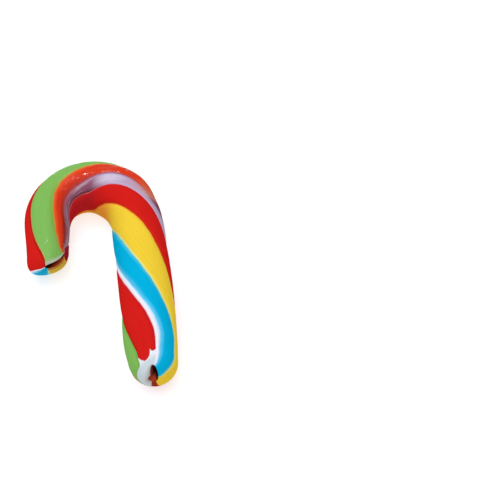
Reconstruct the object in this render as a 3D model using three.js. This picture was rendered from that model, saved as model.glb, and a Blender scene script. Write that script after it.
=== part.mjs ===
// A hand-pulled candy cane: one thick rope of boiled sugar, striped along its length, twisted as it was
// rolled, bent into a crook while warm and laid down on its side. It is one solid, the node "cane".
//
// It is made the way the sweet is. A straight stick is turned on a lathe with one column of faces for each
// strip of colour. Then each point of it is shaped in turn: the bands swell a little between their seams,
// the stick is twisted, its two cut ends are pinched to a slit, its underside settles flat, and it is bent.
import * as THREE from 'three';

// ---- Driving dimensions: millimetres, and degrees round the rope ----

// The middle line, from the foot to the nose.
const STRAIGHT_LENGTH = 56.3; // the shaft, up to where it starts to turn
const EASE_IN_LENGTH = 34; // the turn tightens
const TIGHT_LENGTH = 18.5; // the crown, at its tightest
const EASE_OUT_LENGTH = 15.5; // the turn lets go
const NOSE_LENGTH = 15.9; // straight again, down to the end of the nose
const CROOK_TURN = Math.PI; // the nose points back along the shaft
const ROPE_LENGTH = STRAIGHT_LENGTH + EASE_IN_LENGTH + TIGHT_LENGTH + EASE_OUT_LENGTH + NOSE_LENGTH;

// How thick the rope is, how far it sways away from the inside of the crook, and how far it has twisted, at
// even steps from the foot to the nose.
const RADII = [6.9, 8.35, 8.8, 9.0, 9.05, 9.2, 9.7, 8.95, 8.2, 7.4, 6.7];
const SWAY = [0.1, -0.2, 0.25, 0.25, 0.05, 0.05, -0.3, 0.4, 0, -0.2, 0.1];
const TWIST = [
  -104, -96, -89, -72, -50, -30, -9, 14, 37, 63, 88, 112, 137, 158, 168, 174, 180, 186, 191, 203, 219,
];

// The bands of colour in order round the rope, how wide each is and how many columns of faces it has.
const FIRST_BAND_EDGE = 231; // where the green starts, before the twist
const BANDS = [
  { name: 'green', colour: '#7eb65b', degrees: 55, columns: 6 },
  { name: 'orange', colour: '#d84a24', degrees: 25, columns: 3 },
  { name: 'lilac', colour: '#b2a2bc', degrees: 32, columns: 4 },
  { name: 'red', colour: '#d22220', degrees: 58, columns: 6 },
  { name: 'yellow', colour: '#e6cc3c', degrees: 72, columns: 8 },
  { name: 'blue', colour: '#00aed8', degrees: 41, columns: 5 },
  { name: 'white', colour: '#dfe6f0', degrees: 13, columns: 2 },
  { name: 'deep red', colour: '#d02420', degrees: 64, columns: 7 },
];

const SEAM_DEPTH = 0.28; // the groove between two bands
const FLAT_SINK = 0.25; // how far the soft rope settled on the slab

// The crease on the inside of the crook, where the lilac folds against the red.
const CREASE = { angle: 343, halfWidth: 9, depth: 0.75, from: 84, to: 118 };

// The swelling on the far side of the crown.
const SWELLING = { along: 78.2, angle: 25, reach: 5.2, reachAround: 40, height: 0.9 };

// The rounded ends. A fullness of 2 is a round end, more is blunter. Each is set back on one side, and
// pinched to a slit: across is away from the inside of the crook, up is up, and the toe is how far the low
// end of the slit bulges to one side.
const FOOT = {
  at: 0, inward: 1, rounding: 8.2, fullness: 2.06, setBack: 0.8,
  slit: { across: -0.3, up: 3, angle: 90, halfLength: 2.9, halfWidth: 1.25, toe: 2.3, depth: 2.6 },
};
const NOSE = {
  at: ROPE_LENGTH, inward: -1, rounding: 8, fullness: 2.8, setBack: 5,
  slit: { across: -2.7, up: 3.4, angle: 0, halfLength: 3.3, halfWidth: 0.95, toe: 0, depth: 1.8 },
};
const SET_BACK_SIDE = 252; // below, and toward the inside of the crook
const SET_BACK_REACH = 16; // how far up the rope from a rounded end its rings still lean

// How finely the stick is divided.
const RING_SPACING = 2;
const END_RINGS = 6;
const LINE_STEP = 0.25;

const radians = THREE.MathUtils.degToRad;

// ---- Values along the rope ----

// A smooth value along the rope, from numbers at even steps between its two ends.
function alongRope(values) {
  const curve = new THREE.SplineCurve(values.map((value, step) => new THREE.Vector2(step, value)));
  return (along) => curve.getPoint(THREE.MathUtils.clamp(along / ROPE_LENGTH, 0, 1)).y;
}

const radiusAt = alongRope(RADII);
const swayAt = alongRope(SWAY);
const twistAt = alongRope(TWIST);

// The middle line on the slab: it heads up the shaft, and turns by the area under its curvature.
function layMiddleLine() {
  const tightest = CROOK_TURN / (EASE_IN_LENGTH / 2 + TIGHT_LENGTH + EASE_OUT_LENGTH / 2);
  const turnEnd = ROPE_LENGTH - NOSE_LENGTH;
  const line = [{ x: 0, y: 0, heading: Math.PI / 2 }];
  const steps = Math.round(ROPE_LENGTH / LINE_STEP);
  for (let step = 0; step < steps; step++) {
    const along = (step + 0.5) * LINE_STEP;
    const easeIn = (along - STRAIGHT_LENGTH) / EASE_IN_LENGTH;
    const easeOut = (turnEnd - along) / EASE_OUT_LENGTH;
    const curvature = tightest * THREE.MathUtils.clamp(Math.min(easeIn, easeOut), 0, 1);
    const { x, y, heading } = line[step];
    const middle = heading + (curvature * LINE_STEP) / 2;
    line.push({
      x: x + Math.cos(middle) * LINE_STEP,
      y: y + Math.sin(middle) * LINE_STEP,
      heading: heading + curvature * LINE_STEP,
    });
  }
  return line;
}

const middleLine = layMiddleLine();

// Carries a point of the straight stick to its place on the bent one.
function bend(along, across, height) {
  const last = middleLine.length - 2;
  const step = THREE.MathUtils.clamp(Math.floor(along / LINE_STEP), 0, last);
  const { x, y, heading } = middleLine[step];
  const rest = along - step * LINE_STEP;
  const aside = across + swayAt(along);
  return new THREE.Vector3(
    x + Math.cos(heading) * rest + Math.sin(heading) * aside,
    y + Math.sin(heading) * rest - Math.cos(heading) * aside,
    height,
  );
}

// ---- The skin of the rope ----

// The angle of each column of faces, and how far it is through its band, from 0 at one seam to 1 at the next.
function layColumns() {
  const columns = [];
  let edge = FIRST_BAND_EDGE;
  for (const band of BANDS) {
    for (let column = 0; column < band.columns; column++) {
      const through = column / band.columns;
      columns.push({ angle: edge + band.degrees * through, through });
    }
    edge += band.degrees;
  }
  columns.push({ ...columns[0] });
  return columns;
}

// How far the skin lies inside a plain round rope: the seams between bands, and the crease.
function hollowAt(along, { angle, through }) {
  const swell = 4 * through * (1 - through);
  const seam = SEAM_DEPTH * (1 - swell) ** 2;
  const turned = THREE.MathUtils.euclideanModulo(angle - CREASE.angle + 180, 360) - 180;
  const inCrease = Math.max(0, 1 - Math.abs(turned) / CREASE.halfWidth);
  const middle = (CREASE.from + CREASE.to) / 2;
  const reach = Math.max(0, 1 - ((along - middle) / (CREASE.to - middle)) ** 2);
  return seam + CREASE.depth * inCrease * reach;
}

// How far the skin stands out where it swells, at an angle on the twisted rope.
function swellingAt(along, angle) {
  const turned = THREE.MathUtils.euclideanModulo(angle - SWELLING.angle + 180, 360) - 180;
  const away = ((along - SWELLING.along) / SWELLING.reach) ** 2 + (turned / SWELLING.reachAround) ** 2;
  return SWELLING.height * Math.exp(-away);
}

// A point on the round skin, across and up from the rope's middle line.
function onSkin(along, column) {
  const angle = column.angle + twistAt(along);
  const radius = radiusAt(along) - hollowAt(along, column) + swellingAt(along, angle);
  return new THREE.Vector2(radius * Math.cos(radians(angle)), radius * Math.sin(radians(angle)));
}

// A point on the lips of an end's slit, where the bands run together, from the slit's middle.
function onSlit({ at, slit }, column) {
  const turned = radians(column.angle + twistAt(at) - slit.angle);
  const toe = slit.toe * Math.max(0, -Math.cos(turned)) * Math.max(0, Math.sin(turned));
  const lip = new THREE.Vector2(slit.halfLength * Math.cos(turned), slit.halfWidth * Math.sin(turned) + toe);
  return lip.rotateAround(new THREE.Vector2(), radians(slit.angle));
}

// How far an end is set back at a point across and up from the middle line.
function setBackAt(end, point, radius) {
  const middle = new THREE.Vector2(end.slit.across, end.slit.up);
  const side = new THREE.Vector2(1, 0).rotateAround(new THREE.Vector2(), radians(SET_BACK_SIDE));
  return end.setBack * Math.max(0, point.clone().sub(middle).dot(side) / (radius - middle.dot(side)));
}

// How far in from the tip of an end its rounded face lies, at a point across and up from the middle line. The
// point is a share, reach, of the way out to where the skin is on the rim.
function roundedFace(end, point, rim, reach) {
  const radius = radiusAt(end.at + end.inward * end.rounding);
  const out = Math.min(point.length() / THREE.MathUtils.lerp(radius, rim.length(), reach), 1);
  return end.rounding * (1 - (1 - out ** end.fullness) ** (1 / end.fullness)) + setBackAt(end, point, radius);
}

// How far a point of the rope is moved along it, so that its rings lean as the set-back ends do.
function leanAt(along, point) {
  return [FOOT, NOSE].reduce((lean, end) => {
    const distance = Math.abs(along - end.at) - end.rounding;
    const near = 1 - THREE.MathUtils.smoothstep(distance, 0, SET_BACK_REACH);
    return lean + end.inward * near * setBackAt(end, point, radiusAt(along));
  }, 0);
}

// The rows of points from nose to foot. On an end, reach runs from 0 at the slit to 1 at the full rope, and
// inside from 0 at the slit's lips to 1 at its bottom.
function layRows() {
  const endRows = (end) => [
    { end, reach: 0, inside: 1 },
    { end, reach: 0, inside: 0.55 },
    ...Array.from({ length: END_RINGS }, (_, ring) => {
      const reach = Math.sin((ring / END_RINGS) * (Math.PI / 2)) ** (2 / end.fullness);
      return { end, reach, inside: 0 };
    }),
  ];
  const ropeFrom = FOOT.rounding;
  const ropeTo = ROPE_LENGTH - NOSE.rounding;
  const rings = Math.round((ropeTo - ropeFrom) / RING_SPACING);
  const ropeRows = Array.from({ length: rings + 1 }, (_, ring) => ({
    along: THREE.MathUtils.lerp(ropeTo, ropeFrom, ring / rings),
  }));
  return [...endRows(NOSE), ...ropeRows, ...endRows(FOOT).reverse()];
}

// Where the point of a row and a column lies on the finished cane.
function placeOnCane(row, column) {
  if (row.end === undefined) {
    const skin = onSkin(row.along, column);
    const height = radiusAt(row.along) - FLAT_SINK + skin.y;
    return bend(row.along + leanAt(row.along, skin), skin.x, Math.max(height, 0));
  }
  const { end, reach, inside } = row;
  const base = end.at + end.inward * end.rounding;
  const middle = new THREE.Vector2(end.slit.across, end.slit.up);
  const lip = onSlit(end, column).multiplyScalar(1 - inside).add(middle);
  const rim = onSkin(base, column);
  const point = lip.lerp(rim, reach);
  const along = end.at + end.inward * (roundedFace(end, point, rim, reach) + end.slit.depth * inside);
  return bend(along, point.x, Math.max(radiusAt(base) - FLAT_SINK + point.y, 0));
}

// ---- The cane ----

function makeCane() {
  const rows = layRows();
  const columns = layColumns();
  const stick = rows.map(({ reach = 1, along = 0 }, row) => new THREE.Vector2(radiusAt(along) * reach, row));
  const geometry = new THREE.LatheGeometry(stick, columns.length - 1);
  const points = geometry.attributes.position;
  columns.forEach((column, aroundStep) => {
    rows.forEach((row, alongStep) => {
      const point = placeOnCane(row, column);
      points.setXYZ(aroundStep * rows.length + alongStep, point.x, point.y, point.z);
    });
  });

  // Each band is one run of columns, so one run of faces, with its own colour.
  const facesAColumn = 2 * (rows.length - 1);
  let firstCorner = 0;
  BANDS.forEach((band, material) => {
    const corners = 3 * facesAColumn * band.columns;
    geometry.addGroup(firstCorner, corners, material);
    firstCorner += corners;
  });
  geometry.computeVertexNormals();

  // The origin is on the slab, under the middle of the cane's box.
  geometry.computeBoundingBox();
  const box = geometry.boundingBox;
  geometry.translate(-(box.min.x + box.max.x) / 2, -(box.min.y + box.max.y) / 2, -box.min.z);

  const sugars = BANDS.map(({ name, colour }) => {
    const sugar = new THREE.MeshStandardMaterial({ color: colour, roughness: 0.2, metalness: 0 });
    sugar.name = `${name} boiled sugar`;
    return sugar;
  });
  const cane = new THREE.Mesh(geometry, sugars);
  cane.name = 'cane';
  return cane;
}

const candyCane = new THREE.Group();
candyCane.add(makeCane());

export default candyCane;
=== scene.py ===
"""A hand-pulled candy cane: one thick rope of boiled sugar, striped, twisted, bent to a crook and laid flat.

The cane is grown ring by ring along its rope. Each ring has one point for each sliver of colour, so the
bands, the seams between them and the two pinched ends are all shaped by where a ring's points are put.
"""

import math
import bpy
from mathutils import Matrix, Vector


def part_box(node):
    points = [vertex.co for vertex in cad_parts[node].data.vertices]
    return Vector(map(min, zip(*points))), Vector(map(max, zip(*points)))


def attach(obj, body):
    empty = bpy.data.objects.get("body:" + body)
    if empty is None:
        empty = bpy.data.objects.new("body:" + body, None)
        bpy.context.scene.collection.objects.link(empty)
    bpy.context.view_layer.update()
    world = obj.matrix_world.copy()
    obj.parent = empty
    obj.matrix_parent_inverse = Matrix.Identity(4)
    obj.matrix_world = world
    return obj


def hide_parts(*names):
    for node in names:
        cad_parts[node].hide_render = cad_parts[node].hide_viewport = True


bl_info = {
    "name": "Candy Cane",
    "version": (1, 0, 0),
    "blender": (4, 5, 0),
    "location": "3D View > Sidebar > Candy",
    "description": "Makes a striped candy cane of pulled sugar, and a pale table and soft light to see it by",
    "category": "Add Mesh",
}

from typing import NamedTuple

import bmesh
import bpy
from bpy.props import FloatProperty, FloatVectorProperty, PointerProperty
from mathutils import Matrix, Vector, noise

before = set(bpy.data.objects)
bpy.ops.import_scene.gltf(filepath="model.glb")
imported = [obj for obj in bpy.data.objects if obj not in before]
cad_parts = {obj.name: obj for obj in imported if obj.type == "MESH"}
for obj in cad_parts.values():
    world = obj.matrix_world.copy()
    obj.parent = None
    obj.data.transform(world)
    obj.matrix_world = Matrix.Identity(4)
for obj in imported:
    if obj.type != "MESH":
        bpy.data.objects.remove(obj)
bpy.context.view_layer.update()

MM = 0.001
TURN = 360

# ---- The rope: lengths in metres, angles in degrees round it, steps even from the foot to the nose ----

RADII = [6.9, 8.35, 8.8, 9.0, 9.05, 9.2, 9.7, 8.95, 8.2, 7.4, 6.7]  # mm
SWAY = [0.1, -0.2, 0.25, 0.25, 0.05, 0.05, -0.3, 0.4, 0.0, -0.2, 0.1]  # mm away from the inside of the crook
TWIST = [-104, -96, -89, -72, -50, -30, -9, 14, 37, 63, 88, 112, 137, 158, 168, 174, 180, 186, 191, 203, 219]

SEAM_DEPTH = 0.26 * MM
SEAM_HALF_WIDTH = 1.0 * MM
SEAM_FADE = 22 * MM  # before the nose
BAND_CROWN = 0.12 * MM
FLAT_SINK = 0.25 * MM

LUMP_DEPTH = 0.10 * MM
LUMP_SIZE = 9 * MM
LUMPS_FROM = 2 * MM  # above the table, where the lumps are full

CREASE_DEPTH = 0.3 * MM
CREASE_HALF_WIDTH = 4
CREASE_FROM = 84 * MM
CREASE_TO = 118 * MM

SWELLING_HEIGHT = 0.9 * MM  # of the orange, at the crook's outer shoulder
SWELLING_ALONG, SWELLING_ANGLE = 78.2 * MM, 25
SWELLING_REACH, SWELLING_REACH_AROUND = 5.2 * MM, 40

LIP_REACH = 0.35  # how far out from the slit its lips fall, as a share of the way to the full rope
SET_BACK_ANGLE = math.radians(252)  # below, and inside the crook
SET_BACK_SIDE = Vector((math.cos(SET_BACK_ANGLE), math.sin(SET_BACK_ANGLE)))
SET_BACK_REACH = 16 * MM  # along the rope, from its rounded end

COLUMNS_A_DEGREE = 2 / 3
RING_SPACING = 0.4 * MM
END_RINGS = 26
SLIT_RINGS = 7
LINE_STEP = 0.25 * MM


class SeamEnd(NamedTuple):
    """Where round an end's slit a seam meets it, and what it does on its way in."""

    angle: float
    curls: bool = False  # round the slit
    runs_on: float = 0.0  # degrees further round the end
    bows: float = 0.0  # degrees further round, most of all near the slit


class Band(NamedTuple):
    """A band of coloured sugar and the seam where it starts."""

    name: str
    start: float  # degrees round the rope before it is twisted
    foot: SeamEnd
    nose: SeamEnd
    strays: tuple  # how far the seam strays, in degrees, at even steps along the rope


CURL_FROM, CURL_TO = 0.3, 0.9  # how far out from the slit, as a share of the way to the full rope
BANDS = [
    Band(
        "green", 231, SeamEnd(252, curls=True), SeamEnd(388, runs_on=20),
        strays=(-18, -2, 3, 1, 0, -2, -5, -7, -5, -6, 6),
    ),
    Band(
        "orange", 286, SeamEnd(254, curls=True), SeamEnd(533, runs_on=12),
        strays=(0, 0, 0, -2, -40, -9, -23, -6, 2, 4, 6),
    ),
    Band(
        "lilac", 311, SeamEnd(256, curls=True), SeamEnd(536),
        strays=(0, 0, 0, -1, -46, -4, -2, 8, 8, 9, -26),
    ),
    Band(
        "red", 343, SeamEnd(258, curls=True), SeamEnd(539),
        strays=(0, 0, -2, -6, -11, -6, 5, 0, 0, 35, -134),
    ),
    Band(
        "yellow", 401, SeamEnd(284, curls=True), SeamEnd(552),
        strays=(6, 8, 10, 2, -8, -4, 3, -4, 4, -8, -94),
    ),
    Band(
        "blue", 473, SeamEnd(345, bows=14), SeamEnd(675),
        strays=(18, -2, -5, -4, -9, -1, 3, 2, 1, -3, -99),
    ),
    Band(
        "white", 514, SeamEnd(430), SeamEnd(712, bows=32),
        strays=(30, 1, 1, 7, 5, 3, 2, 1, 0, 0, -32),
    ),
    Band(
        "deep_red", 527, SeamEnd(460), SeamEnd(722, bows=32),
        strays=(18, 0, -1, 5, 2, 1, 1, 0, 2, 3, -46),
    ),
]
BAND_NUMBERS = {band.name: number for number, band in enumerate(BANDS)}
BAND_STARTS = [band.start for band in BANDS] + [BANDS[0].start + TURN]  # the first once more, a whole turn on


class End(NamedTuple):
    """A rounded end of the rope, pinched to a slit. Across is away from the inside of the crook."""

    name: str
    inward: int
    rounding: float
    fullness: float  # 2 is a round end, more is blunter
    set_back: float
    across: float
    up: float
    slit_angle: float
    half_length: float
    half_width: float
    toe: float  # how far the slit's low end bulges to one side
    depth: float
    pit_shift: float
    lip_fall: float

    def set_back_at(self, place, radius):
        """How far back the end lies at a point across and up from the middle line."""
        slit = Vector((self.across, self.up))
        return self.set_back * max(0, (place - slit).dot(SET_BACK_SIDE) / (radius - slit.dot(SET_BACK_SIDE)))


FOOT = End(
    "foot", 1, rounding=8.2 * MM, fullness=2.06, set_back=0.8 * MM, across=-0.3 * MM, up=3.0 * MM,
    slit_angle=90, half_length=2.9 * MM, half_width=1.25 * MM, toe=2.3 * MM,
    depth=2.6 * MM, pit_shift=0.5 * MM, lip_fall=0.4 * MM,
)
NOSE = End(
    "nose", -1, rounding=8.0 * MM, fullness=2.8, set_back=5.0 * MM, across=-2.7 * MM, up=3.4 * MM,
    slit_angle=0, half_length=3.3 * MM, half_width=0.95 * MM, toe=0.0,
    depth=1.8 * MM, pit_shift=0.0, lip_fall=0.5 * MM,
)


def srgb(code):
    """An sRGB hex colour as the linear numbers that a shader takes."""
    values = [int(code[place : place + 2], 16) / 255 for place in (1, 3, 5)]
    return tuple(v / 12.92 if v <= 0.04045 else ((v + 0.055) / 1.055) ** 2.4 for v in values)


def sugar_colour(name, code, description):
    return FloatVectorProperty(
        name=name, description=description, subtype="COLOR", size=3, min=0, max=1, default=srgb(code)
    )


def length(name, millimetres, description):
    return FloatProperty(
        name=name, description=description, default=millimetres * MM, min=0, unit="LENGTH", subtype="DISTANCE"
    )


class CandyCaneShape(bpy.types.PropertyGroup):
    """The lengths of the rope's middle line, from the foot to the nose."""

    straight: length("Shaft", 56.3, "Length of the shaft, up to where it starts to turn")
    ease_in: length("Ease In", 34, "Length over which the turn tightens")
    tight: length("Crown", 18.5, "Length of the crown, at its tightest")
    ease_out: length("Ease Out", 15.5, "Length over which the turn lets go")
    nose: length("Nose", 15.9, "Length from the end of the turn to the end of the nose")
    turn: FloatProperty(
        name="Turn",
        description="How far the crook turns",
        default=math.pi,
        min=0,
        max=math.pi,
        unit="ROTATION",
        subtype="ANGLE",
    )


class CandyCaneColours(bpy.types.PropertyGroup):
    """The colours of the boiled sugar."""

    green: sugar_colour("Green", "#7bb358", "The green band")
    orange: sugar_colour("Orange", "#d43a1e", "The orange band")
    lilac: sugar_colour("Lilac", "#b29fbe", "The lilac band")
    red: sugar_colour("Red", "#cb1e1a", "The wide red band")
    yellow: sugar_colour("Yellow", "#e8c638", "The yellow band")
    blue: sugar_colour("Blue", "#05a9d6", "The blue band")
    white: sugar_colour("White", "#e2e6f2", "The thin white band")
    deep_red: sugar_colour("Deep Red", "#cb1e1a", "The red band beside the white")
    core: sugar_colour("Core", "#c9d4da", "The bare sugar where the foot was cut")
    # Near black at the bottom of the slits: partly the syrup's colour, partly painted shade.
    pit: sugar_colour("Pit", "#240704", "The bottom of the slits")


class CandyStage(bpy.types.PropertyGroup):
    """The table, the light and the camera."""

    table: sugar_colour("Table", "#a9a9aa", "The opal board that the cane lies on, before it glows")
    key_power: FloatProperty(
        name="Softbox", description="Power of the softbox above the cane", default=14.5, min=0, unit="POWER"
    )
    lamp_power: FloatProperty(
        name="Lamps", description="Power of each small lamp behind the cane", default=0.6, min=0, unit="POWER"
    )
    room_light: FloatProperty(name="Room", description="Brightness of the room around", default=0.34, min=0)
    glow: FloatProperty(name="Glow", description="Brightness of the table's own light", default=0.7, min=0)
    lens: FloatProperty(
        name="Lens", description="Focal length for a 36 mm sensor", default=67.2, min=20, unit="CAMERA"
    )


# ---- The shape of the rope ----


def smooth_step(low, high, value):
    share = min(max((value - low) / (high - low), 0), 1)
    return share * share * (3 - 2 * share)


def mix(first, second, share):
    return first + (second - first) * share


def along_rope(values, share):
    """A smooth value at a share of the rope's length, from values at even steps along it."""
    place = min(max(share, 0), 1) * (len(values) - 1)
    step = min(int(place), len(values) - 2)
    t = place - step
    before, start, end, after = (values[min(max(step + k, 0), len(values) - 1)] for k in (-1, 0, 1, 2))
    leave, arrive = (end - before) / 2, (after - start) / 2
    return (
        (2 * start - 2 * end + leave + arrive) * t**3
        + (3 * end - 3 * start - 2 * leave - arrive) * t**2
        + leave * t
        + start
    )


def turned_from(angle, middle):
    """How far round an angle is from another, the shorter way."""
    return (angle - middle + TURN / 2) % TURN - TURN / 2


class Rope:
    """The rope, bent to its crook: where each point of its skin lies, in metres."""

    def __init__(self, shape):
        self.shape = shape
        self.length = shape.straight + shape.ease_in + shape.tight + shape.ease_out + shape.nose
        self.tightest = shape.turn / (shape.ease_in / 2 + shape.tight + shape.ease_out / 2)
        self.columns = lay_columns()
        self.line = self.lay_middle_line()

    def lay_middle_line(self):
        """Places and headings up the shaft and round the crook, turning by the area under the curvature."""
        x, y, heading = 0.0, 0.0, math.pi / 2
        line = [(x, y, heading)]
        for step in range(round(self.length / LINE_STEP)):
            turned = self.curvature((step + 0.5) * LINE_STEP) * LINE_STEP
            x += math.cos(heading + turned / 2) * LINE_STEP
            y += math.sin(heading + turned / 2) * LINE_STEP
            heading += turned
            line.append((x, y, heading))
        return line

    def curvature(self, along):
        """How sharply the rope turns."""
        shape = self.shape
        ease_in = (along - shape.straight) / shape.ease_in
        ease_out = (self.length - shape.nose - along) / shape.ease_out
        return self.tightest * min(max(min(ease_in, ease_out), 0), 1)

    def bend(self, along, across, height):
        """Carries a point of the straight stick to its place on the bent one."""
        step = min(max(int(along / LINE_STEP), 0), len(self.line) - 2)
        x, y, heading = self.line[step]
        next_heading = self.line[step + 1][2]
        rest = along - step * LINE_STEP
        heading_here = mix(heading, next_heading, rest / LINE_STEP)
        across += along_rope(SWAY, along / self.length) * MM
        middle = (heading + heading_here) / 2
        return Vector(
            (
                x + math.cos(middle) * rest + math.sin(heading_here) * across,
                y + math.sin(middle) * rest - math.cos(heading_here) * across,
                max(height, 0),
            )
        )

    def radius(self, along):
        return along_rope(RADII, along / self.length) * MM

    def seams(self, along):
        """The angle of each band's first seam on the twisted rope, and once more after a whole turn."""
        share = along / self.length
        twist = along_rope(TWIST, share)
        angles = [band.start + twist + along_rope(band.strays, share) for band in BANDS]
        return angles + [angles[0] + TURN]

    def hollow(self, along, band, through, seam_angles):
        """How far the skin lies inside a plain round rope: at seams, off a band's crown, in the crease."""
        width = math.radians(seam_angles[band + 1] - seam_angles[band]) * self.radius(along)
        to_first, to_last = through * width, (1 - through) * width
        groove = SEAM_DEPTH * smooth_step(0, SEAM_FADE, self.length - along)
        seam = groove * math.exp(-((min(to_first, to_last) / SEAM_HALF_WIDTH) ** 2))
        crown = BAND_CROWN * (2 * through - 1) ** 2
        angle = mix(seam_angles[band], seam_angles[band + 1], through)
        return seam + crown + self.crease(along, angle, seam_angles)

    def crease(self, along, angle, seam_angles):
        """The fold inside the crook, where the lilac sinks against the red."""
        turned = turned_from(angle, seam_angles[BAND_NUMBERS["red"]])
        middle = (CREASE_FROM + CREASE_TO) / 2
        reach = max(0, 1 - ((along - middle) / (CREASE_TO - middle)) ** 2)
        return CREASE_DEPTH * reach * math.exp(-((turned / CREASE_HALF_WIDTH) ** 2))

    def swelling(self, along, angle):
        """How far the sugar swells out at the crook's outer shoulder."""
        turned = turned_from(angle, SWELLING_ANGLE)
        away = ((along - SWELLING_ALONG) / SWELLING_REACH) ** 2 + (turned / SWELLING_REACH_AROUND) ** 2
        return SWELLING_HEIGHT * math.exp(-away)

    def skin(self, along, band, through, seam_angles):
        """A point of the skin across and up from the middle line."""
        angle = mix(seam_angles[band], seam_angles[band + 1], through)
        hollow = self.hollow(along, band, through, seam_angles)
        radius = self.radius(along) - hollow + self.swelling(along, angle)
        return Vector((math.cos(math.radians(angle)), math.sin(math.radians(angle)))) * radius


def lay_columns():
    """The columns of points round the rope: each one's band, how far through it, and its part of a turn."""
    columns = []
    for number, (first, last) in enumerate(zip(BAND_STARTS, BAND_STARTS[1:])):
        count = round((last - first) * COLUMNS_A_DEGREE)
        for column in range(count):
            through = column / count
            columns.append((number, through, (mix(first, last, through) - BAND_STARTS[0]) / TURN))
    return columns


def lip_of_slit(end, turned, turn_slit):
    """A point of a slit's lips from its middle, for an angle round it from its long direction."""
    toe = end.toe * max(0, -math.cos(turned)) * max(0, math.sin(turned))
    lip = Vector((end.half_length * math.cos(turned), end.half_width * math.sin(turned) + toe))
    lip.rotate(Matrix.Rotation(turn_slit, 2))
    return lip


def ring_on_end(rope, end, tip, reach, inside):
    """The points of one ring of an end, which reach from its slit, 0, to the full rope, 1."""
    base = tip + end.inward * end.rounding
    on_rope = rope.seams(base)
    seam_ends = [getattr(band, end.name) for band in BANDS]
    on_lip = [seam.angle for seam in seam_ends]
    on_lip.append(on_lip[0] + TURN)
    curl = 1 - smooth_step(CURL_FROM, CURL_TO, reach)
    over_end = (1 - reach**end.fullness) ** (1 / end.fullness)
    outward = [
        mix(on_rope[number], seam.angle, curl if seam.curls else 0.0)
        + seam.runs_on * over_end
        + seam.bows * (1 - reach**2)
        for number, seam in enumerate(seam_ends)
    ]
    outward.append(outward[0] + TURN)
    turn_slit = math.radians(end.slit_angle)
    slit = Vector((end.across, end.up))
    pit = Vector((end.across + end.pit_shift, end.up))
    full_radius = rope.radius(base)
    points = []
    for band, through, _ in rope.columns:
        lip_angle = math.radians(mix(on_lip[band], on_lip[band + 1], through))
        lip = slit + lip_of_slit(end, lip_angle - turn_slit, turn_slit)
        angle = math.radians(mix(outward[band], outward[band + 1], through))
        rim_radius = full_radius - rope.hollow(base, band, through, on_rope)
        rim = Vector((math.cos(angle), math.sin(angle))) * rim_radius
        place = lip.lerp(pit, inside).lerp(rim, reach)
        out = min(place.length / mix(full_radius, rim.length, reach), 1)
        face = end.rounding * (1 - (1 - out**end.fullness) ** (1 / end.fullness))
        face += end.set_back_at(place, full_radius)
        fall = end.lip_fall * max(0, 1 - reach / LIP_REACH) ** 2
        along = tip + end.inward * (face + fall + end.depth * inside)
        points.append(rope.bend(along, place.x, full_radius - FLAT_SINK + place.y))
    return points


def ring_on_rope(rope, along):
    """The points of one ring between the rope's ends, and how far the bend squeezed the sugar at each."""
    seam_angles = rope.seams(along)
    radius = rope.radius(along)
    curvature = rope.curvature(along)
    from_foot, from_nose = along - FOOT.rounding, rope.length - NOSE.rounding - along
    near_foot = 1 - smooth_step(0, SET_BACK_REACH, from_foot)
    near_nose = 1 - smooth_step(0, SET_BACK_REACH, from_nose)
    points, squeezes = [], []
    for band, through, _ in rope.columns:
        skin = rope.skin(along, band, through, seam_angles)
        back = FOOT.set_back_at(skin, radius) * near_foot - NOSE.set_back_at(skin, radius) * near_nose
        points.append(rope.bend(along + back, skin.x, radius - FLAT_SINK + skin.y))
        squeezes.append(max(0, -skin.x * curvature))
    return points, squeezes


FAR_OFF = -100.0  # what a ring says of an end that it isn't near, in millimetres
AT_SLIT = 0.01  # what the ring at a slit's lips says of its pit, to tell it from the skin's rings


class Ring(NamedTuple):
    """A ring of points, and how far along the rope, onto each end in mm, and into its slit it is."""

    points: list
    squeezes: list
    along: float
    foot_end: float = FAR_OFF
    nose_end: float = FAR_OFF
    pit: float = 0.0


def lay_end(rope, end, tip):
    """The rings of an end, from next to the full rope to the bottom of its slit, measured over its skin."""
    rings = []
    before = ring_on_end(rope, end, tip, 1.0, 0.0)
    travelled = 0.0
    quarter = [(1 - ring / END_RINGS) * math.pi / 2 for ring in range(1, END_RINGS)]
    steps = [(math.sin(angle) ** (2 / end.fullness), 0.0) for angle in quarter]
    steps += [(0.0, ring / SLIT_RINGS) for ring in range(SLIT_RINGS)]
    for reach, inside in steps:
        points = ring_on_end(rope, end, tip, reach, inside)
        travelled += sum((a - b).length for a, b in zip(before, points)) / len(points)
        along = tip + end.inward * (end.rounding - travelled)
        on_end = {end.name + "_end": travelled / MM, "pit": inside + (0.0 if reach else AT_SLIT)}
        rings.append(Ring(points, [0.0] * len(points), along, **on_end))
        before = points
    return rings


def lay_rings(rope):
    """Every ring from the bottom of the foot's slit to the bottom of the nose's."""
    first, last = FOOT.rounding, rope.length - NOSE.rounding
    count = round((last - first) / RING_SPACING)
    middle = [mix(first, last, ring / count) for ring in range(count + 1)]
    rings = lay_end(rope, FOOT, 0.0)[::-1]
    for along in middle:
        rings.append(Ring(*ring_on_rope(rope, along), along, (first - along) / MM, (along - last) / MM))
    return rings + lay_end(rope, NOSE, rope.length)


def settle_lumps(rings):
    """Rolls slow unevenness into the rope's skin, as hands leave it, but not into its flat underside."""
    for ring in rings:
        middle = sum(ring.points, Vector()) / len(ring.points)
        for point in ring.points:
            if point.z > FLAT_SINK:
                lump = noise.noise(point / LUMP_SIZE) * LUMP_DEPTH * smooth_step(0, LUMPS_FROM, point.z)
                point += (point - middle).normalized() * lump


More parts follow.
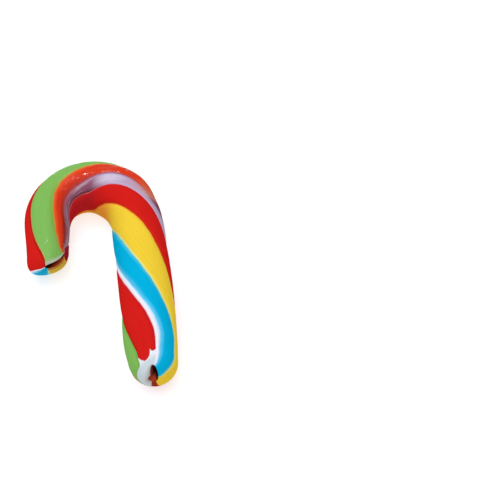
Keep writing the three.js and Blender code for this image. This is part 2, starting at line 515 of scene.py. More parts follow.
def grow_cane(bm, rope, rings):
    """Extrudes a ring of edges along the rope, and numbers each point by its row and its column."""
    row_of = bm.verts.layers.int.new("row")
    column_of = bm.verts.layers.int.new("column")
    made = bmesh.ops.create_circle(bm, cap_ends=False, segments=len(rope.columns), radius=1.0)
    for column, vertex in enumerate(made["verts"]):
        vertex[column_of] = column
        vertex.co = rings[0].points[column]
    edges = list(bm.edges)
    for row in range(1, len(rings)):
        grown = bmesh.ops.extrude_edge_only(bm, edges=edges)["geom"]
        new = [part for part in grown if isinstance(part, bmesh.types.BMVert)]
        for vertex in new:
            vertex[row_of] = row
            vertex.co = rings[row].points[vertex[column_of]]
        edges = [
            part
            for part in grown
            if isinstance(part, bmesh.types.BMEdge) and all(end[row_of] == row for end in part.verts)
        ]
    return row_of, column_of


def unwrap_bands(bm, rope, rings, row_of, column_of):
    """A UV map that follows the sugar: across is the part of a turn before the twist, up is along the rope.

    Each point also keeps how far onto each end it is, how far into a slit, and how squeezed.
    """
    around = bm.loops.layers.uv.new("bands")
    last_column = len(rope.columns) - 1
    for face in bm.faces:
        spans_seam = any(loop.vert[column_of] == last_column for loop in face.loops)
        for loop in face.loops:
            column = loop.vert[column_of]
            turn = 1.0 if spans_seam and column == 0 else rope.columns[column][2]
            loop[around].uv = (turn, rings[loop.vert[row_of]].along / rope.length)
    for name in ("foot_end", "nose_end", "pit"):
        layer = bm.verts.layers.float.new(name)
        for vertex in bm.verts:
            vertex[layer] = getattr(rings[vertex[row_of]], name)
    squeezed = bm.verts.layers.float.new("squeezed")
    for vertex in bm.verts:
        vertex[squeezed] = rings[vertex[row_of]].squeezes[vertex[column_of]]


def close_slits(bm, rings, row_of):
    """Draws the last ring at each end together to a point, at the bottom of its slit."""
    for row in (0, len(rings) - 1):
        bottom = [vertex for vertex in bm.verts if vertex[row_of] == row]
        bmesh.ops.pointmerge(bm, verts=bottom, merge_co=sum((v.co for v in bottom), Vector()) / len(bottom))


def centre_on_box(bm, box):
    """Moves the cane so that its box has the same middle as the CAD's, standing on the table."""
    low = Vector(min(v.co[axis] for v in bm.verts) for axis in range(3))
    high = Vector(max(v.co[axis] for v in bm.verts) for axis in range(3))
    move = (box[0] + box[1]) / 2 - (low + high) / 2
    move.z = box[0].z - low.z
    bmesh.ops.translate(bm, verts=bm.verts, vec=move)


def make_object(name, bm):
    mesh = bpy.data.meshes.new(name)
    bm.to_mesh(mesh)
    bm.free()
    made = bpy.data.objects.new(name, mesh)
    bpy.context.scene.collection.objects.link(made)
    return made


# ---- Nodes ----

SUBTRACT = {"operation": "SUBTRACT"}
MULTIPLY = {"operation": "MULTIPLY"}
MULTIPLY_ADD = {"operation": "MULTIPLY_ADD"}
MAXIMUM = {"operation": "MAXIMUM"}
COMPARE = {"operation": "COMPARE"}
SMOOTHLY = {"interpolation_type": "SMOOTHSTEP"}
MIX_COLOURS = {"data_type": "RGBA"}
MIX_SHARE, MIX_FIRST, MIX_SECOND, MIX_RESULT = 0, 6, 7, 2  # a Mix node's sockets when it mixes colours


def add_node(tree, kind, settings=None, inputs=None, stops=()):
    """Adds a node with its settings, its inputs set to values or linked to outputs, and a ramp's stops."""
    made = tree.nodes.new(kind)
    for name, value in (settings or {}).items():
        setattr(made, name, value)
    for name, value in (inputs or {}).items():
        if isinstance(value, bpy.types.NodeSocket):
            tree.links.new(value, made.inputs[name])
        else:
            made.inputs[name].default_value = value
    if stops:
        elements = made.color_ramp.elements
        elements.remove(elements[-1])
        for number, (place, colour) in enumerate(stops):
            stop = elements[0] if number == 0 else elements.new(place)
            stop.position = place
            stop.color = opaque(colour)
    return made


def opaque(colour):
    return (*colour[:3], 1.0)


def levels(*stops):
    """Stops of a ramp that carries a number, as greys."""
    return [(place, (level,) * 3) for place, level in stops]


def hues(*stops):
    """Stops of a ramp from hex colours."""
    return [(place, srgb(code)) for place, code in stops]


# ---- Pulled boiled sugar: turns are parts of a turn before the twist, and alongs are shares of the rope ----


class Tint(NamedTuple):
    """What a band's colour turns into beside its first seam and its last, over a part of a turn."""

    first: str
    last: str
    first_width: float = 0.02
    last_width: float = 0.02


SHAFT_TINTS = {
    "green": Tint("#6ba64a", "#98b45c"),
    # The orange's lighter tint beside the green is a painted highlight, and its darker one beside the lilac
    # is painted shade over the strand's rounding.
    "orange": Tint("#e2622a", "#cc3c1e", 0.03),
    # The lilac's darker tint beside the orange is painted shade in the groove between them.
    "lilac": Tint("#94749c", "#bcaac8"),
    "red": Tint("#c41a1c", "#c02a16"),
    "yellow": Tint("#ee9e38", "#dcd880", 0.014),
    "blue": Tint("#4ab8d0", "#66c2ea", last_width=0.026),
    "white": Tint("#b8e0f8", "#f4dce4"),
    "deep_red": Tint("#b81826", "#a81c14"),
}
NOSE_TINTS = SHAFT_TINTS | {
    "green": Tint("#b0944a", "#84ac48", 0.012, 0.03),
    # The orange's dark tint beside the lilac and the lilac's dark tint beside the orange are painted shade on
    # the nose leg's inner side.
    "orange": Tint("#e0602a", "#ac1c16", last_width=0.03),
    "lilac": Tint("#7a3c44", "#b49aa8", last_width=0.04),
    # The deep red's dark tint beside the green is painted shade along the nose leg's outer side.
    "deep_red": Tint("#c81a1c", "#9a1a12"),
}
# Darker colours towards the nose: painted shade on the nose leg's inner side and under the nose.
NOSE_SHADED_COLOURS = {"lilac": "#9c7080", "red": "#98182a", "yellow": "#ccaa3c", "blue": "#1ca2c8"}
# Deeper, warmer colours and tints for the inside of the bend: painted shade inside the crook.
CROOK_SHADE_COLOURS = {"orange": "#c8301a", "lilac": "#8c546c", "red": "#ba2024", "yellow": "#e89a34"}
CROOK_SHADE_TINTS = NOSE_TINTS | {
    "orange": Tint("#dc5a28", "#b4484a"),
    # The lilac's near-black last tint is painted shade in the crease beside the red, and the red's pink first
    # tint is a painted highlight on the red's lip below it.
    "lilac": Tint("#a0606c", "#4c1824", last_width=0.012),
    "red": Tint("#d87078", "#a82018", 0.008),
    "yellow": Tint("#d4762a", "#d0963a"),
}
SEAM_BLUR = 0.006  # of a turn, so about a third of a millimetre
WANDER = 0.012  # of a turn
WANDER_SIZE = 4 * MM

TOWARDS_NOSE = {"From Min": 0.6, "From Max": 0.78}  # along, where the shaft's colours turn into the nose's, which carry painted shade
CROOK_SHADE_FROM_SQUEEZE = {"From Min": 0.05, "From Max": 0.45}  # how much shorter the bend made the sugar, as a share, over which the crook's painted shade comes in
CROOK_SHADE_ALONG = {"From Min": 0.55, "From Max": 0.66}
YELLOW_SHADE_FROM_SQUEEZE = {"From Min": 0.15, "From Max": 0.38}  # the same share, for the yellow's painted shade

ROPE_ROUND, ROPE_LONG = 56, 141  # mm, about
STREAK_WIDTH, STREAK_LENGTH = 0.8, 15  # mm
STREAK_SHADES = {"From Min": 0.3, "From Max": 0.7, "To Min": 0.97, "To Max": 1.03}

# A pale lilac for the lilac's streaks, which are partly real and partly painted highlight, and for a painted
# highlight on top of the crown.
PALE_LILAC_AND_HIGHLIGHT = "#dcd4e6"
PALE_AND_HIGHLIT_STREAKS = {"From Min": 0.52, "From Max": 0.7, "To Max": 0.32}
PALE_PART = 1 / 1.2  # of the lilac's width
# Where the painted highlight on the lilac lies, along the rope and round it.
HIGHLIGHT_ALONG = levels((0.55, 0), (0.58, 0.5), (0.6, 0.5), (0.64, 0))
HIGHLIGHT_TURN = levels((0.228, 0), (0.25, 1), (0.28, 1), (0.306, 0))

CROWN_SHEEN_AND_SHADE = hues((0.49, "#5e2a3e"), (0.505, "#c4806c"), (0.56, "#d06a3c"))  # along: maroon painted shade, then a salmon painted sheen
CROWN_SHEEN_AND_SHADE_ALONG = levels((0.42, 0), (0.455, 0.85), (0.5, 0.85), (0.525, 0.5), (0.56, 0))
CROWN_SHADE_PAST_GREEN = {"From Min": 0.155, "From Max": 0.2}  # turn
CROWN_SHADE_BEFORE_RED = {"From Min": 0.245, "From Max": 0.312, "To Min": 1.0, "To Max": 0.0}

# How far the deep red reaches before it is torn off, by turn, in mm from 1 mm above the foot's rounded end.
TORN_EDGE = (
    (0.825, 1.8), (0.85, 2.7), (0.862, 2.5), (0.87, 1.8), (0.875, 1.9), (0.881, 4.2),
    (0.895, 5.2), (0.915, 5.7), (0.93, 5.5), (0.96, 4.5), (1.0, 2.8),
)
TORN_SCALE = 8.0
RAG_SIZE = 1.3 * MM
TORN_FADE = {"From Min": -1.8, "From Max": -1.2}  # mm past the edge
TORN_BESIDE, TORN_BESIDE_FULL = 0.012, 0.002  # of a turn before the deep red's first seam
CORE_FADE = {"From Min": 3.0, "From Max": 12.0}  # mm onto the foot's end
# The grey that the core darkens to near the foot's slit: painted shade.
CORE_PAINTED_SHADE = "#b0b2b0"

# The syrup round the foot's slit and round the nose's, by turn. Its darkest stops are partly painted shade
# deep in the slits.
FOOT_SYRUP = hues(
    (0.0, "#a04028"), (0.45, "#a83c20"), (0.55, "#3a0c06"),
    (0.8, "#160402"), (0.9, "#8c3024"), (1.0, "#a04028"),
)
NOSE_SYRUP = hues(
    (0.0, "#2a0e06"), (0.35, "#3a1006"), (0.47, "#a03a1c"),
    (0.6, "#8a2a12"), (0.68, "#2a0e06"), (1.0, "#180a06"),
)
SYRUP_FROM = {"From Min": 0.0, "From Max": 0.1}  # share of the slit's depth
# Where painted shade darkens the syrup towards the pit's colour, as a share of the slit's depth.
SYRUP_SHADED_DEEPER = {"From Min": 0.35, "From Max": 0.85}

GRAIN_SIZE, GRAIN_DEPTH, GRAIN_STRENGTH = 0.9 * MM, 0.05 * MM, 0.6
DIMPLE_SIZE, DIMPLE_DEPTH, DIMPLE_STRENGTH = 3.5 * MM, 0.3 * MM, 0.5

GLOSS_ALONG = levels((0.54, 0), (0.6, 1), (0.7, 1), (0.76, 0.15), (0.9, 0.15), (0.93, 1))
GLOSS_TURN = {"From Min": 0.25, "From Max": 0.3, "To Min": 1.0, "To Max": 0.0}
FLECK_SIZE = 1.8 * MM
FLECK_GLOSS = {"From Min": 0.48, "From Max": 0.6, "To Min": 0.08, "To Max": 0.8}


class LipStain(NamedTuple):
    """How a band changes beside a slit, in millimetres before the last ring of skin."""

    band: str
    code: str
    starts: float
    full: float
    share: float = 1.0


NOSE_LIP_STAINS = (
    LipStain("green", "#c2c4b4", starts=2.5, full=0.6, share=0.9),
    LipStain("yellow", "#a85a2c", starts=0.1, full=-0.4, share=0.8),
)
FOOT_LIP_STAINS = (
    LipStain("green", "#9c3018", starts=2.0, full=0.6),
    LipStain("orange", "#9c3018", starts=3.2, full=0.6),
    LipStain("lilac", "#9c3018", starts=3.2, full=0.6),
    LipStain("red", "#8c3020", starts=3.8, full=0.6),
)


def band_ends(name):
    """Where a band starts and ends, as parts of a turn."""
    number = BAND_NUMBERS[name]
    return tuple((start - BAND_STARTS[0]) / TURN for start in BAND_STARTS[number : number + 2])


def band_span(name, part=1.0):
    """A band's middle and half its width, or half a part of that, as a Compare node takes them."""
    first, last = band_ends(name)
    return {1: (first + last) / 2, 2: (last - first) / 2 * part}


def band_stops(colour_of, tints):
    """The bands' colours round the rope, each tinted beside its seams."""
    stops = []
    for name, tint in tints.items():
        first, last = band_ends(name)
        most = (last - first) / 3
        stops += [
            (first + SEAM_BLUR / 2, srgb(tint.first)),
            (first + min(tint.first_width, most), colour_of[name]),
            (last - min(tint.last_width, most), colour_of[name]),
            (last - SEAM_BLUR / 2, srgb(tint.last)),
        ]
    return stops


class Sugar:
    """What the sugar's nodes read at a point, and the colour that they have given it so far."""

    def __init__(self, tree):
        self.tree = tree
        self.place = add_node(tree, "ShaderNodeTexCoord").outputs["Object"]
        self.bands = add_node(tree, "ShaderNodeUVMap", {"uv_map": "bands"}).outputs["UV"]
        parts = add_node(tree, "ShaderNodeSeparateXYZ", inputs={"Vector": self.bands})
        self.turn, self.along = parts.outputs["X"], parts.outputs["Y"]
        self.foot_end = add_node(tree, "ShaderNodeAttribute", {"attribute_name": "foot_end"}).outputs["Fac"]
        self.nose_end = add_node(tree, "ShaderNodeAttribute", {"attribute_name": "nose_end"}).outputs["Fac"]
        self.pit = add_node(tree, "ShaderNodeAttribute", {"attribute_name": "pit"}).outputs["Fac"]
        self.squeezed = add_node(tree, "ShaderNodeAttribute", {"attribute_name": "squeezed"}).outputs["Fac"]
        self.towards_nose = add_node(
            tree, "ShaderNodeMapRange", SMOOTHLY, {"Value": self.along} | TOWARDS_NOSE
        ).outputs[0]
        self.pressed = self.press_seams()
        self.colour = None

    def press_seams(self):
        """Seams wander by about a quarter of a millimetre where the bands were pressed together."""
        tree = self.tree
        wander = add_node(
            tree, "ShaderNodeTexNoise", inputs={"Vector": self.place, "Scale": 1 / WANDER_SIZE, "Detail": 3.0}
        )
        off_middle = add_node(tree, "ShaderNodeMath", SUBTRACT, {0: wander.outputs["Fac"], 1: 0.5}).outputs[0]
        wandered = {0: off_middle, 1: WANDER, 2: self.turn}
        return add_node(tree, "ShaderNodeMath", MULTIPLY_ADD, wandered).outputs[0]

    def colour_bands(self, colours):
        """Lays the bands' colours on, as they are on the shaft and as at the nose, where darker ones paint
        the shade on the leg's inner side and under the nose.
        """
        tree = self.tree
        shaft_colours = {band.name: getattr(colours, band.name) for band in BANDS}
        shaded_nose_colours = shaft_colours | {name: srgb(code) for name, code in NOSE_SHADED_COLOURS.items()}
        on_shaft, on_nose = (
            add_node(tree, "ShaderNodeValToRGB", inputs={"Fac": self.pressed}, stops=stops).outputs["Color"]
            for stops in (band_stops(shaft_colours, SHAFT_TINTS), band_stops(shaded_nose_colours, NOSE_TINTS))
        )
        laid = {MIX_SHARE: self.towards_nose, MIX_FIRST: on_shaft, MIX_SECOND: on_nose}
        self.colour = add_node(tree, "ShaderNodeMix", MIX_COLOURS, laid).outputs[MIX_RESULT]

    def squeeze(self, colours):
        """Paints shade inside the crook: the inside of the bend, where the sugar was squeezed, gets deeper,
        warmer colours.

        The yellow's painted shade falls wherever it is squeezed, and the others' only from the crown on to
        the nose.
        """
        tree = self.tree
        squeeze_shade = add_node(
            tree, "ShaderNodeMapRange", SMOOTHLY, {"Value": self.squeezed} | CROOK_SHADE_FROM_SQUEEZE
        ).outputs[0]
        from_crown = add_node(
            tree, "ShaderNodeMapRange", SMOOTHLY, {"Value": self.along} | CROOK_SHADE_ALONG
        ).outputs[0]
        crook_shade = add_node(tree, "ShaderNodeMath", MULTIPLY, {0: squeeze_shade, 1: from_crown}).outputs[0]
        yellow_shade = add_node(
            tree, "ShaderNodeMapRange", SMOOTHLY, {"Value": self.squeezed} | YELLOW_SHADE_FROM_SQUEEZE
        ).outputs[0]
        in_yellow = add_node(tree, "ShaderNodeMath", COMPARE, {0: self.turn} | band_span("yellow")).outputs[0]
        yellow_shade = add_node(tree, "ShaderNodeMath", MULTIPLY, {0: yellow_shade, 1: in_yellow}).outputs[0]
        crook_shade = add_node(tree, "ShaderNodeMath", MAXIMUM, {0: crook_shade, 1: yellow_shade}).outputs[0]
        crook_colours_in_shade = {band.name: getattr(colours, band.name) for band in BANDS}
        crook_colours_in_shade |= {name: srgb(code) for name, code in CROOK_SHADE_COLOURS.items()}
        stops = band_stops(crook_colours_in_shade, CROOK_SHADE_TINTS)
        shaded_in_crook = add_node(
            tree, "ShaderNodeValToRGB", inputs={"Fac": self.pressed}, stops=stops
        ).outputs["Color"]
        changed = {MIX_SHARE: crook_shade, MIX_FIRST: self.colour, MIX_SECOND: shaded_in_crook}
        self.colour = add_node(tree, "ShaderNodeMix", MIX_COLOURS, changed).outputs[MIX_RESULT]

    def draw_out_streaks(self):
        """Pulling draws the colour out in streaks along the rope. The lilac is pale in them, partly as
        painted highlight streaks, and a painted highlight pales it on top of the crown.

        A streak is about 0.8 mm wide and 15 mm long.
        """
        tree = self.tree
        finely = (ROPE_ROUND / STREAK_WIDTH, ROPE_LONG / STREAK_LENGTH, 1.0)
        drawn_out = add_node(tree, "ShaderNodeVectorMath", MULTIPLY, {0: self.bands, 1: finely}).outputs[0]
        streaks = add_node(
            tree, "ShaderNodeTexNoise", inputs={"Vector": drawn_out, "Scale": 1.0, "Detail": 2.0}
        ).outputs["Fac"]
        shade = add_node(tree, "ShaderNodeMapRange", inputs={"Value": streaks} | STREAK_SHADES).outputs[0]
        shaded = add_node(tree, "ShaderNodeHueSaturation", inputs={"Color": self.colour, "Value": shade})
        self.colour = shaded.outputs["Color"]

        pale = add_node(tree, "ShaderNodeMapRange", SMOOTHLY, {"Value": streaks} | PALE_AND_HIGHLIT_STREAKS).outputs[0]
        middle = {0: self.turn} | band_span("lilac", PALE_PART)
        in_lilac = add_node(tree, "ShaderNodeMath", COMPARE, middle).outputs[0]
        streaked = add_node(tree, "ShaderNodeMath", MULTIPLY, {0: pale, 1: in_lilac}).outputs[0]
        # A painted highlight on top of the crown, in the middle of the lilac.
        over_crown = add_node(
            tree, "ShaderNodeValToRGB", inputs={"Fac": self.along}, stops=HIGHLIGHT_ALONG
        ).outputs["Color"]
        in_middle = add_node(
            tree, "ShaderNodeValToRGB", inputs={"Fac": self.turn}, stops=HIGHLIGHT_TURN
        ).outputs["Color"]
        painted_highlight = add_node(tree, "ShaderNodeMath", MULTIPLY, {0: over_crown, 1: in_middle}).outputs[0]
        pale_and_highlit = add_node(tree, "ShaderNodeMath", MAXIMUM, {0: streaked, 1: painted_highlight}).outputs[0]
        changed = {MIX_SHARE: pale_and_highlit, MIX_FIRST: self.colour, MIX_SECOND: opaque(srgb(PALE_LILAC_AND_HIGHLIGHT))}
        self.colour = add_node(tree, "ShaderNodeMix", MIX_COLOURS, changed).outputs[MIX_RESULT]

    def paint_crown_sheen_and_shade(self):
        """At the crook's outer shoulder the orange gives out in salmon, a painted sheen, and then in dark
        maroon, painted shade.
        """
        tree = self.tree
        # Salmon paints a sheen and maroon paints shade, along the rope.
        stain = add_node(
            tree, "ShaderNodeValToRGB", inputs={"Fac": self.along}, stops=CROWN_SHEEN_AND_SHADE
        ).outputs["Color"]
        stained = add_node(
            tree, "ShaderNodeValToRGB", inputs={"Fac": self.along}, stops=CROWN_SHEEN_AND_SHADE_ALONG
        ).outputs["Color"]
        past_green = add_node(
            tree, "ShaderNodeMapRange", SMOOTHLY, {"Value": self.pressed} | CROWN_SHADE_PAST_GREEN
        ).outputs[0]
        before_red = add_node(
            tree, "ShaderNodeMapRange", SMOOTHLY, {"Value": self.pressed} | CROWN_SHADE_BEFORE_RED
        ).outputs[0]
        between = add_node(tree, "ShaderNodeMath", MULTIPLY, {0: past_green, 1: before_red}).outputs[0]
        share = add_node(tree, "ShaderNodeMath", MULTIPLY, {0: stained, 1: between}).outputs[0]
        changed = {MIX_SHARE: share, MIX_FIRST: self.colour, MIX_SECOND: stain}
        self.colour = add_node(tree, "ShaderNodeMix", MIX_COLOURS, changed).outputs[MIX_RESULT]

    def tear_foot(self, colours):
        """Where the rope was cut, the deep red is torn back and the bare sugar of the core shows."""
        tree = self.tree
        edge = levels(*((turn, reach / TORN_SCALE) for turn, reach in TORN_EDGE))
        torn = add_node(
            tree, "ShaderNodeValToRGB", inputs={"Fac": self.turn}, stops=edge
        ).outputs["Color"]
        rag = add_node(
            tree, "ShaderNodeTexNoise", inputs={"Vector": self.place, "Scale": 1 / RAG_SIZE, "Detail": 2.0}
        )
        ragged_edge = {0: torn, 1: TORN_SCALE, 2: rag.outputs["Fac"]}
        ragged = add_node(tree, "ShaderNodeMath", MULTIPLY_ADD, ragged_edge).outputs[0]
        beyond = add_node(tree, "ShaderNodeMath", SUBTRACT, {0: self.foot_end, 1: ragged}).outputs[0]
        past_edge = add_node(tree, "ShaderNodeMapRange", SMOOTHLY, {"Value": beyond} | TORN_FADE).outputs[0]
        seam = band_ends("deep_red")[0]
        beside = {"From Min": seam - TORN_BESIDE, "From Max": seam - TORN_BESIDE_FULL}
        in_red = add_node(tree, "ShaderNodeMapRange", SMOOTHLY, {"Value": self.pressed} | beside).outputs[0]
        bare = add_node(tree, "ShaderNodeMath", MULTIPLY, {0: past_edge, 1: in_red}).outputs[0]
        onto_end = add_node(
            tree, "ShaderNodeMapRange", inputs={"Value": self.foot_end} | CORE_FADE
        ).outputs[0]
        # The core greys furthest onto the end, near the slit: painted shade.
        stops = [(0.0, colours.white), (0.39, colours.core), (0.8, colours.core), (1.0, srgb(CORE_PAINTED_SHADE))]
        core = add_node(
            tree, "ShaderNodeValToRGB", inputs={"Fac": onto_end}, stops=stops
        ).outputs["Color"]
        changed = {MIX_SHARE: bare, MIX_FIRST: self.colour, MIX_SECOND: core}
        self.colour = add_node(tree, "ShaderNodeMix", MIX_COLOURS, changed).outputs[MIX_RESULT]

    def stain_lips(self, end, lip, stains):
        """Beside a slit the sugar is stretched thin and pale, or stained by syrup."""
        tree = self.tree
        for stain in stains:
            near = {"From Min": lip - stain.starts, "From Max": lip - stain.full, "To Max": stain.share}
            beside = add_node(tree, "ShaderNodeMapRange", SMOOTHLY, {"Value": end} | near).outputs[0]
            span = band_span(stain.band)
            in_band = add_node(tree, "ShaderNodeMath", COMPARE, {0: self.turn} | span).outputs[0]
            share = add_node(tree, "ShaderNodeMath", MULTIPLY, {0: beside, 1: in_band}).outputs[0]
            changed = {MIX_SHARE: share, MIX_FIRST: self.colour, MIX_SECOND: opaque(srgb(stain.code))}
            self.colour = add_node(tree, "ShaderNodeMix", MIX_COLOURS, changed).outputs[MIX_RESULT]

    def scorch_slits(self, colours):
        """Scorched syrup lines the slits, and painted shade makes it darker the deeper it lies, near black at
        the bottom.
        """
        tree = self.tree
        scorched = add_node(tree, "ShaderNodeMapRange", SMOOTHLY, {"Value": self.pit} | SYRUP_FROM).outputs[0]
        deep = add_node(tree, "ShaderNodeMapRange", SMOOTHLY, {"Value": self.pit} | SYRUP_SHADED_DEEPER).outputs[0]
        foot_syrup = add_node(
            tree, "ShaderNodeValToRGB", inputs={"Fac": self.turn}, stops=FOOT_SYRUP
        ).outputs["Color"]
        nose_syrup = add_node(
            tree, "ShaderNodeValToRGB", inputs={"Fac": self.turn}, stops=NOSE_SYRUP
        ).outputs["Color"]
        either = {MIX_SHARE: self.towards_nose, MIX_FIRST: foot_syrup, MIX_SECOND: nose_syrup}
        syrup = add_node(tree, "ShaderNodeMix", MIX_COLOURS, either).outputs[MIX_RESULT]
        darkened = {MIX_SHARE: deep, MIX_FIRST: syrup, MIX_SECOND: opaque(colours.pit)}
        syrup = add_node(tree, "ShaderNodeMix", MIX_COLOURS, darkened).outputs[MIX_RESULT]
        changed = {MIX_SHARE: scorched, MIX_FIRST: self.colour, MIX_SECOND: syrup}
        self.colour = add_node(tree, "ShaderNodeMix", MIX_COLOURS, changed).outputs[MIX_RESULT]

    def skin(self):
        """The skin is not quite smooth: fine grains of a millimetre and less, over shallow dimples."""
        tree = self.tree
        grains = add_node(
            tree, "ShaderNodeTexNoise", inputs={"Vector": self.place, "Scale": 1 / GRAIN_SIZE, "Detail": 3.0}
        ).outputs["Fac"]
        dimples = add_node(
            tree, "ShaderNodeTexNoise", inputs={"Vector": self.place, "Scale": 1 / DIMPLE_SIZE, "Detail": 1.0}
        ).outputs["Fac"]
        grained = {"Height": grains, "Distance": GRAIN_DEPTH, "Strength": GRAIN_STRENGTH}
        fine = add_node(tree, "ShaderNodeBump", inputs=grained).outputs["Normal"]
        dimpled = {"Height": dimples, "Distance": DIMPLE_DEPTH, "Strength": DIMPLE_STRENGTH, "Normal": fine}
        return add_node(tree, "ShaderNodeBump", inputs=dimpled).outputs["Normal"]

    def gloss(self):
        """Handling dulled the skin, which kept its gloss in flecks on top of the crown and at the nose."""
        tree = self.tree
        kept = add_node(
            tree, "ShaderNodeValToRGB", inputs={"Fac": self.along}, stops=GLOSS_ALONG
        ).outputs["Color"]
        on_top = add_node(tree, "ShaderNodeMapRange", SMOOTHLY, {"Value": self.turn} | GLOSS_TURN).outputs[0]
        flecks = add_node(
            tree, "ShaderNodeTexNoise", inputs={"Vector": self.place, "Scale": 1 / FLECK_SIZE, "Detail": 2.0}
        ).outputs["Fac"]
        fleck = add_node(tree, "ShaderNodeMapRange", SMOOTHLY, {"Value": flecks} | FLECK_GLOSS).outputs[0]
        kept = add_node(tree, "ShaderNodeMath", MULTIPLY, {0: kept, 1: on_top}).outputs[0]
        return add_node(tree, "ShaderNodeMath", MULTIPLY, {0: kept, 1: fleck}).outputs[0]


def boiled_sugar(colours, rings):
    """Pulled boiled sugar: fine bubbles make it opaque and soft in colour, and its skin shines in flecks."""
    material = bpy.data.materials.new("pulled boiled sugar")
    material.use_nodes = True
    tree = material.node_tree
    tree.nodes.clear()
    sugar = Sugar(tree)
    sugar.colour_bands(colours)
    sugar.squeeze(colours)
    sugar.draw_out_streaks()
    sugar.paint_crown_sheen_and_shade()
    sugar.tear_foot(colours)
    sugar.stain_lips(sugar.nose_end, max(ring.nose_end for ring in rings if ring.pit == 0), NOSE_LIP_STAINS)
    sugar.stain_lips(sugar.foot_end, max(ring.foot_end for ring in rings if ring.pit == 0), FOOT_LIP_STAINS)
    sugar.scorch_slits(colours)
    skin = sugar.skin()
    shader = add_node(
        tree,
        "ShaderNodeBsdfPrincipled",
        inputs={
            "Base Color": sugar.colour,
            "Roughness": 0.42,
            "IOR": 1.5,
            "Specular IOR Level": 0.0,
            "Subsurface Weight": 0.1,
            "Subsurface Radius": (1.6 * MM, 0.8 * MM, 0.5 * MM),
            "Subsurface Scale": 1.0,
            "Coat Weight": sugar.gloss(),
            "Coat Roughness": 0.1,
            "Normal": skin,
            "Coat Normal": skin,
        },
    )
    add_node(tree, "ShaderNodeOutputMaterial", inputs={"Surface": shader.outputs["BSDF"]})
    return material


def opal_board(colour, glow):
    """A matt opal acrylic board, lit a little from below, which keeps shadows on it pale."""
    material = bpy.data.materials.new("opal acrylic board")
    material.use_nodes = True
    shader = material.node_tree.nodes["Principled BSDF"]
    shader.inputs["Base Color"].default_value = opaque(colour)
    shader.inputs["Roughness"].default_value = 0.9
    shader.inputs["Specular IOR Level"].default_value = 0.0
    shader.inputs["Emission Color"].default_value = (1, 1, 1, 1)
    shader.inputs["Emission Strength"].default_value = glow
    return material


# ---- Operators ----


class CANDY_OT_cane(bpy.types.Operator):
    """Makes the candy cane, in place of its CAD solid"""

    bl_idname = "candy.cane"
    bl_label = "Candy Cane"

    def execute(self, context):
        rope = Rope(context.scene.candy_shape)
        rings = lay_rings(rope)
        settle_lumps(rings)
        bm = bmesh.new()
        row_of, column_of = grow_cane(bm, rope, rings)
        unwrap_bands(bm, rope, rings, row_of, column_of)
        close_slits(bm, rings, row_of)
        bmesh.ops.recalc_face_normals(bm, faces=bm.faces)
        centre_on_box(bm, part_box("cane"))
        cane = make_object("candy_cane", bm)
        cane.data.shade_smooth()
        cane.data.materials.append(boiled_sugar(context.scene.candy_colours, rings))
        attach(cane, "root")
        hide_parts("cane")
        return {"FINISHED"}


TABLE_HALF_SIDE = 1.5
SOFTBOX_AT, SOFTBOX_SIDE = (-0.12, -0.1, 1.2), 1.4
LAMPS_AT = {"lamp_over_nose": (0.09, 0.57, 0.83), "lamp_over_crown": (-0.37, 0.29, 0.93)}
LAMP_SIDE = 0.05
CAMERA_AT = (17.92 * MM, -206.44 * MM, 248.8 * MM)
CAMERA_DOWN = 49
CAMERA_TURN = 9.3


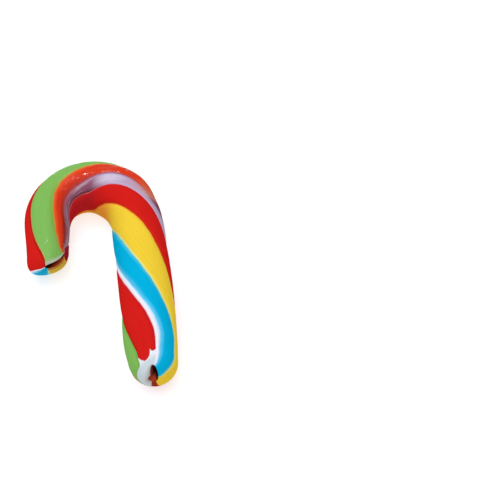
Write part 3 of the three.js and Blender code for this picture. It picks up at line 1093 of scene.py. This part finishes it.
class CANDY_OT_stage(bpy.types.Operator):
    """Makes the pale table, the soft lights and the camera"""

    bl_idname = "candy.stage"
    bl_label = "Stage"

    def execute(self, context):
        stage = context.scene.candy_stage
        bm = bmesh.new()
        bmesh.ops.create_grid(bm, x_segments=1, y_segments=1, size=TABLE_HALF_SIDE)
        table = make_object("table", bm)
        table.data.materials.append(opal_board(stage.table, stage.glow))

        self.add_light("softbox", SOFTBOX_AT, SOFTBOX_SIDE, stage.key_power)
        for name, place in LAMPS_AT.items():
            self.add_light(name, place, LAMP_SIDE, stage.lamp_power)

        world = bpy.data.worlds.new("soft room")
        world.use_nodes = True
        world.node_tree.nodes["Background"].inputs["Color"].default_value = (1, 1, 1, 1)
        world.node_tree.nodes["Background"].inputs["Strength"].default_value = stage.room_light
        context.scene.world = world

        lens = bpy.data.cameras.new("camera")
        lens.lens = stage.lens
        lens.sensor_width = 36
        lens.clip_start = 0.01
        camera = bpy.data.objects.new("camera", lens)
        camera.location = CAMERA_AT
        camera.rotation_euler = (math.radians(90 - CAMERA_DOWN), 0, math.radians(-CAMERA_TURN))
        context.scene.collection.objects.link(camera)
        context.scene.camera = camera
        context.scene.view_settings.view_transform = "Standard"
        return {"FINISHED"}

    def add_light(self, name, place, side, power):
        """A square soft light that faces the cane."""
        lamp = bpy.data.lights.new(name, "AREA")
        lamp.size = side
        lamp.energy = power
        light = bpy.data.objects.new(name, lamp)
        light.location = place
        light.rotation_euler = (-Vector(place)).to_track_quat("-Z", "Y").to_euler()
        bpy.context.scene.collection.objects.link(light)


class CANDY_PT_panel(bpy.types.Panel):
    """Lists what the add-on makes"""

    bl_idname = "CANDY_PT_panel"
    bl_label = "Candy Cane"
    bl_space_type = "VIEW_3D"
    bl_region_type = "UI"
    bl_category = "Candy"

    def draw(self, context):
        scene = context.scene
        for group in (scene.candy_shape, scene.candy_colours, scene.candy_stage):
            box = self.layout.box()
            for name in group.bl_rna.properties.keys():
                if name not in ("rna_type", "name"):
                    box.prop(group, name)
        self.layout.operator(CANDY_OT_cane.bl_idname)
        self.layout.operator(CANDY_OT_stage.bl_idname)


CLASSES = (CandyCaneShape, CandyCaneColours, CandyStage, CANDY_OT_cane, CANDY_OT_stage, CANDY_PT_panel)


def register():
    for made in CLASSES:
        bpy.utils.register_class(made)
    bpy.types.Scene.candy_shape = PointerProperty(type=CandyCaneShape)
    bpy.types.Scene.candy_colours = PointerProperty(type=CandyCaneColours)
    bpy.types.Scene.candy_stage = PointerProperty(type=CandyStage)


def unregister():
    del bpy.types.Scene.candy_stage, bpy.types.Scene.candy_colours, bpy.types.Scene.candy_shape
    for made in reversed(CLASSES):
        bpy.utils.unregister_class(made)


def main():
    register()
    bpy.ops.candy.cane()
    bpy.ops.candy.stage()


if __name__ == "__main__":
    main()
